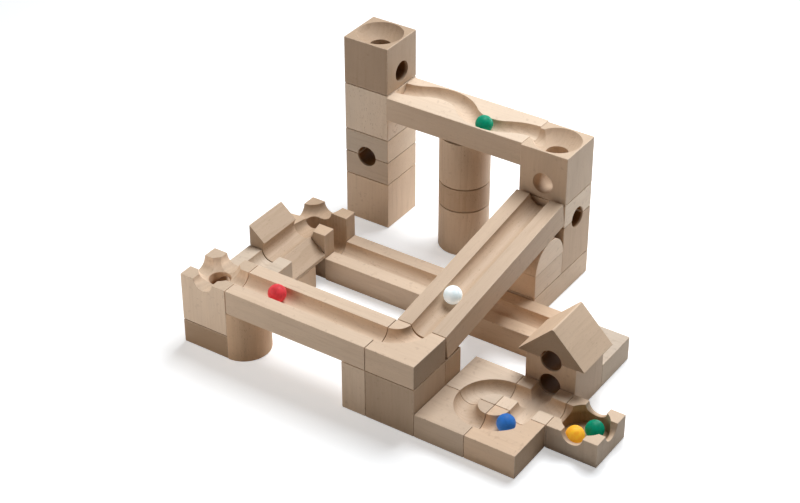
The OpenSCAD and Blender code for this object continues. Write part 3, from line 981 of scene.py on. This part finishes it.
class MARBLERUN_OT_side_branch(Operator):
    """Makes the two castles, the link and the wedge between them"""

    bl_idname = "marble_run.side_branch"
    bl_label = "Side branch"

    def execute(self, context):
        sizes = context.scene.marble_run_sizes
        plain("castle_base", sizes)
        node = "castle_drop"
        lo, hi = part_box(node)
        cutters = [dish(node, sizes.castle_rim, sizes.castle_depth),
                   groove_x(node, sizes), groove_y(node, sizes)]
        carved(node, sizes, cutters + drop_hole(node, sizes, (hi.z - lo.z) / 2, Y_AXIS))
        # The link and the wedge keep no seam where they meet
        body = block_body("link_track", sizes, open_ends=-sizes.seam * Y_AXIS)
        carved("link_track", sizes, [groove_y("link_track", sizes)], body)
        plain("link_prop", sizes)
        node = "wedge_track"
        lo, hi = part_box(node)
        outline = [(lo.x, lo.z), (hi.x, lo.z), (hi.x, lo.z + sizes.wedge_lip), (lo.x, hi.z)]
        body = prism(outline, lo.y, hi.y - lo.y - sizes.seam, sizes.edge / 2)
        middle, top = (lo.x + hi.x) / 2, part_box("link_track")[1].z
        groove = rod(Vector((middle, lo.y - OVERRUN, top)), Vector((middle, hi.y + OVERRUN, top)),
                     sizes.groove)
        carved(node, sizes, [groove], body)
        plain("wedge_support", sizes)
        node = "castle_turn"
        lo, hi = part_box(node)
        end = at(node, 0.5, 0.5, 0.5) - sizes.slot_shift * X_AXIS
        notch = rod(at(node, 0.5, 0, 1) - 0.8 * MM * Y_AXIS, at(node, 0.5, 0.5, 1),
                    sizes.notch_mouth, end_radius=sizes.notch_end)
        slot = slot_cutter(end, hi.x - end.x + OVERRUN, sizes.groove - SLIM, hi.z - lo.z)
        drop = drop_cutter(end, sizes.groove, hi.z - lo.z)
        carved(node, sizes, [notch, bend(node, sizes, 0, 1), drop, slot])
        return {"FINISHED"}


class MARBLERUN_OT_lower_line(Operator):
    """Makes the lower tracks on the table and the curve at their end"""

    bl_idname = "marble_run.lower_line"
    bl_label = "Lower track"

    def execute(self, context):
        sizes = context.scene.marble_run_sizes
        for node in ("lower_track_long", "lower_track_short"):
            carved(node, sizes, [groove_x(node, sizes)])
        carved("end_curve", sizes, [bend("end_curve", sizes, 0, 0)])
        return {"FINISHED"}


class MARBLERUN_OT_house(Operator):
    """Makes the house over the track, and its loose roof"""

    bl_idname = "marble_run.house"
    bl_label = "House and roof"

    def execute(self, context):
        sizes = context.scene.marble_run_sizes
        carved("house", sizes, [groove_y("house", sizes, 0.5), groove_y("house", sizes)])
        lo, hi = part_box("roof")
        middle, blunt = (lo.x + hi.x) / 2, 0.8 * MM
        outline = [(lo.x, lo.z), (hi.x, lo.z), (hi.x, lo.z + blunt), (middle + blunt, hi.z),
                   (middle - blunt, hi.z), (lo.x, lo.z + blunt)]
        body = prism(outline, lo.y, hi.y - lo.y, radius=0.35 * MM)
        carved("roof", sizes, [groove_y("roof", sizes, 0)], body)
        return {"FINISHED"}


class MARBLERUN_OT_swirl(Operator):
    """Makes the swirl of three quarter turns and the crossing"""

    bl_idname = "marble_run.swirl"
    bl_label = "Swirl"

    def execute(self, context):
        sizes = context.scene.marble_run_sizes
        for node, x, y in (("swirl_front_left", 1, 1), ("swirl_front_right", 0, 1),
                           ("swirl_back_left", 1, 0)):
            carved(node, sizes, [bend(node, sizes, x, y)])
        carved("crossing", sizes, [groove_x("crossing", sizes), groove_y("crossing", sizes)])
        return {"FINISHED"}


class MARBLERUN_OT_tray(Operator):
    """Makes the tray that collects the marbles"""

    bl_idname = "marble_run.tray"
    bl_label = "Collecting tray"

    def execute(self, context):
        sizes = context.scene.marble_run_sizes
        top = at("tray", 0.5, 0.5, 1)
        pocket = rod(top - sizes.tray_depth * Z_AXIS, top + OVERRUN * Z_AXIS, sizes.tray_pocket)
        carved("tray", sizes, [groove_x("tray", sizes), groove_y("tray", sizes), pocket])
        return {"FINISHED"}


class MARBLERUN_OT_marbles(Operator):
    """Makes the six glass marbles"""

    bl_idname = "marble_run.marbles"
    bl_label = "Marbles"

    def execute(self, context):
        for node in ("red_marble", "white_marble", "green_marble", "blue_marble", "yellow_marble",
                     "tray_green_marble"):
            glass = node.split("_")[-2].capitalize() + " glass"
            lo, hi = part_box(node)
            bm = bmesh.new()
            bmesh.ops.create_icosphere(
                bm, subdivisions=6, radius=(hi.z - lo.z) / 2,
                matrix=Matrix.Translation((lo + hi) / 2))
            obj = piece_object(node + "_glass", bm)
            obj.data.shade_smooth()
            obj.data.materials.append(bpy.data.materials[glass])
            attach(obj, BODY_OF[node])
            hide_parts(node)
        return {"FINISHED"}


class MARBLERUN_OT_stage(Operator):
    """Makes the white table, the lamps and the camera"""

    bl_idname = "marble_run.stage"
    bl_label = "Stage"

    def execute(self, context):
        scene = context.scene
        stage = scene.marble_run_stage
        scene.view_settings.view_transform = "Standard"

        bm = bmesh.new()
        bmesh.ops.create_grid(bm, x_segments=1, y_segments=1, size=3.0)
        floor = piece_object("table", bm)
        floor.data.materials.append(table_material())

        world = bpy.data.worlds.new("Studio")
        scene.world = world
        world.use_nodes = True
        w = Wiring(world.node_tree)
        paths = w.node("ShaderNodeLightPath").outputs
        bounced = w.math("MAXIMUM", paths["Is Glossy Ray"], paths["Is Transmission Ray"])
        seen = w.math("MAXIMUM", paths["Is Camera Ray"], bounced)
        w.fill(world.node_tree.nodes["Background"], {
            "Color": (1.0, 1.0, 1.0, 1),
            "Strength": w.ramp(seen, 0.0, 1.0, stage.fill, 1.0, smooth=False)})

        # Lamps behind the run are a little cool, and lamps before it a little warm
        cool, warm = (0.96, 1.0, 1.04), (1.06, 1.0, 0.94)
        aim = Vector((0, 0, 0.05))
        for name, spot, side, power in (
                ("Key lamp", (0, 0.5, 1.3), 0.7, stage.key),
                ("Back lamp", (-0.3, 0.8, 1.3), 0.6, stage.back),
                ("Low back lamp", (0.1, 0.55, 0.25), 0.25, 0.27 * stage.back),
                ("Right back lamp", (0.45, 0.45, 0.45), 0.3, 0.08 * stage.back),
                ("Left lamp", (-0.6, -0.6, 0.3), 0.3, stage.front),
                ("Near left lamp", (-0.4, -0.5, 0.5), 0.3, 0.19 * stage.front),
                ("Front lamp", (-0.2, -0.9, 0.3), 0.4, 0.17 * stage.front)):
            data = bpy.data.lights.new(name, "AREA")
            data.size, data.energy = side, power
            data.color = cool if spot[1] > 0 else warm
            lamp = bpy.data.objects.new(name, data)
            scene.collection.objects.link(lamp)
            lamp.location = spot
            lamp.rotation_euler = (aim - lamp.location).to_track_quat("-Z", "Y").to_euler()

        data = bpy.data.cameras.new("Camera")
        data.lens, data.sensor_width = stage.lens, 36
        data.clip_start, data.clip_end = 0.05, 20
        camera = bpy.data.objects.new("Camera", data)
        scene.collection.objects.link(camera)
        lo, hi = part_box("corner_cube")
        facing = (Matrix.Rotation(stage.azimuth, 4, "Z")
                  @ Matrix.Rotation(math.pi / 2 - stage.elevation, 4, "X")
                  @ Matrix.Rotation(stage.roll, 4, "Z"))
        away = Matrix.Translation((*stage.slide, stage.distance))
        camera.matrix_world = Matrix.Translation((hi.x, lo.y, 0)) @ facing @ away
        scene.camera = camera
        return {"FINISHED"}


STEPS = (
    MARBLERUN_OT_finishes, MARBLERUN_OT_funnel_tower, MARBLERUN_OT_curvy_line,
    MARBLERUN_OT_drop_tower, MARBLERUN_OT_ramp, MARBLERUN_OT_corner,
    MARBLERUN_OT_front_line, MARBLERUN_OT_side_branch, MARBLERUN_OT_lower_line,
    MARBLERUN_OT_house, MARBLERUN_OT_swirl, MARBLERUN_OT_tray,
    MARBLERUN_OT_marbles, MARBLERUN_OT_stage,
)
SETTINGS = (
    ("marble_run_sizes", MarbleRunSizes), ("marble_run_finish", MarbleRunFinish),
    ("marble_run_stage", MarbleRunStage),
)


class MARBLERUN_PT_panel(Panel):
    """Lists the marble run's settings and steps"""

    bl_idname = "MARBLERUN_PT_panel"
    bl_label = "Marble run"
    bl_space_type = "VIEW_3D"
    bl_region_type = "UI"
    bl_category = "Marble run"

    def draw(self, context):
        for name, group in SETTINGS:
            box = self.layout.box()
            for item in group.__annotations__:
                box.prop(getattr(context.scene, name), item)
        for step in STEPS:
            self.layout.operator(step.bl_idname)


def register():
    for name, group in SETTINGS:
        bpy.utils.register_class(group)
        setattr(bpy.types.Scene, name, PointerProperty(type=group))
    for step in STEPS + (MARBLERUN_PT_panel,):
        bpy.utils.register_class(step)


def unregister():
    for step in reversed(STEPS + (MARBLERUN_PT_panel,)):
        bpy.utils.unregister_class(step)
    for name, group in SETTINGS:
        delattr(bpy.types.Scene, name)
        bpy.utils.unregister_class(group)


def main():
    register()
    for step in STEPS:
        family, name = step.bl_idname.split(".")
        getattr(getattr(bpy.ops, family), name)()


if __name__ == "__main__":
    main()
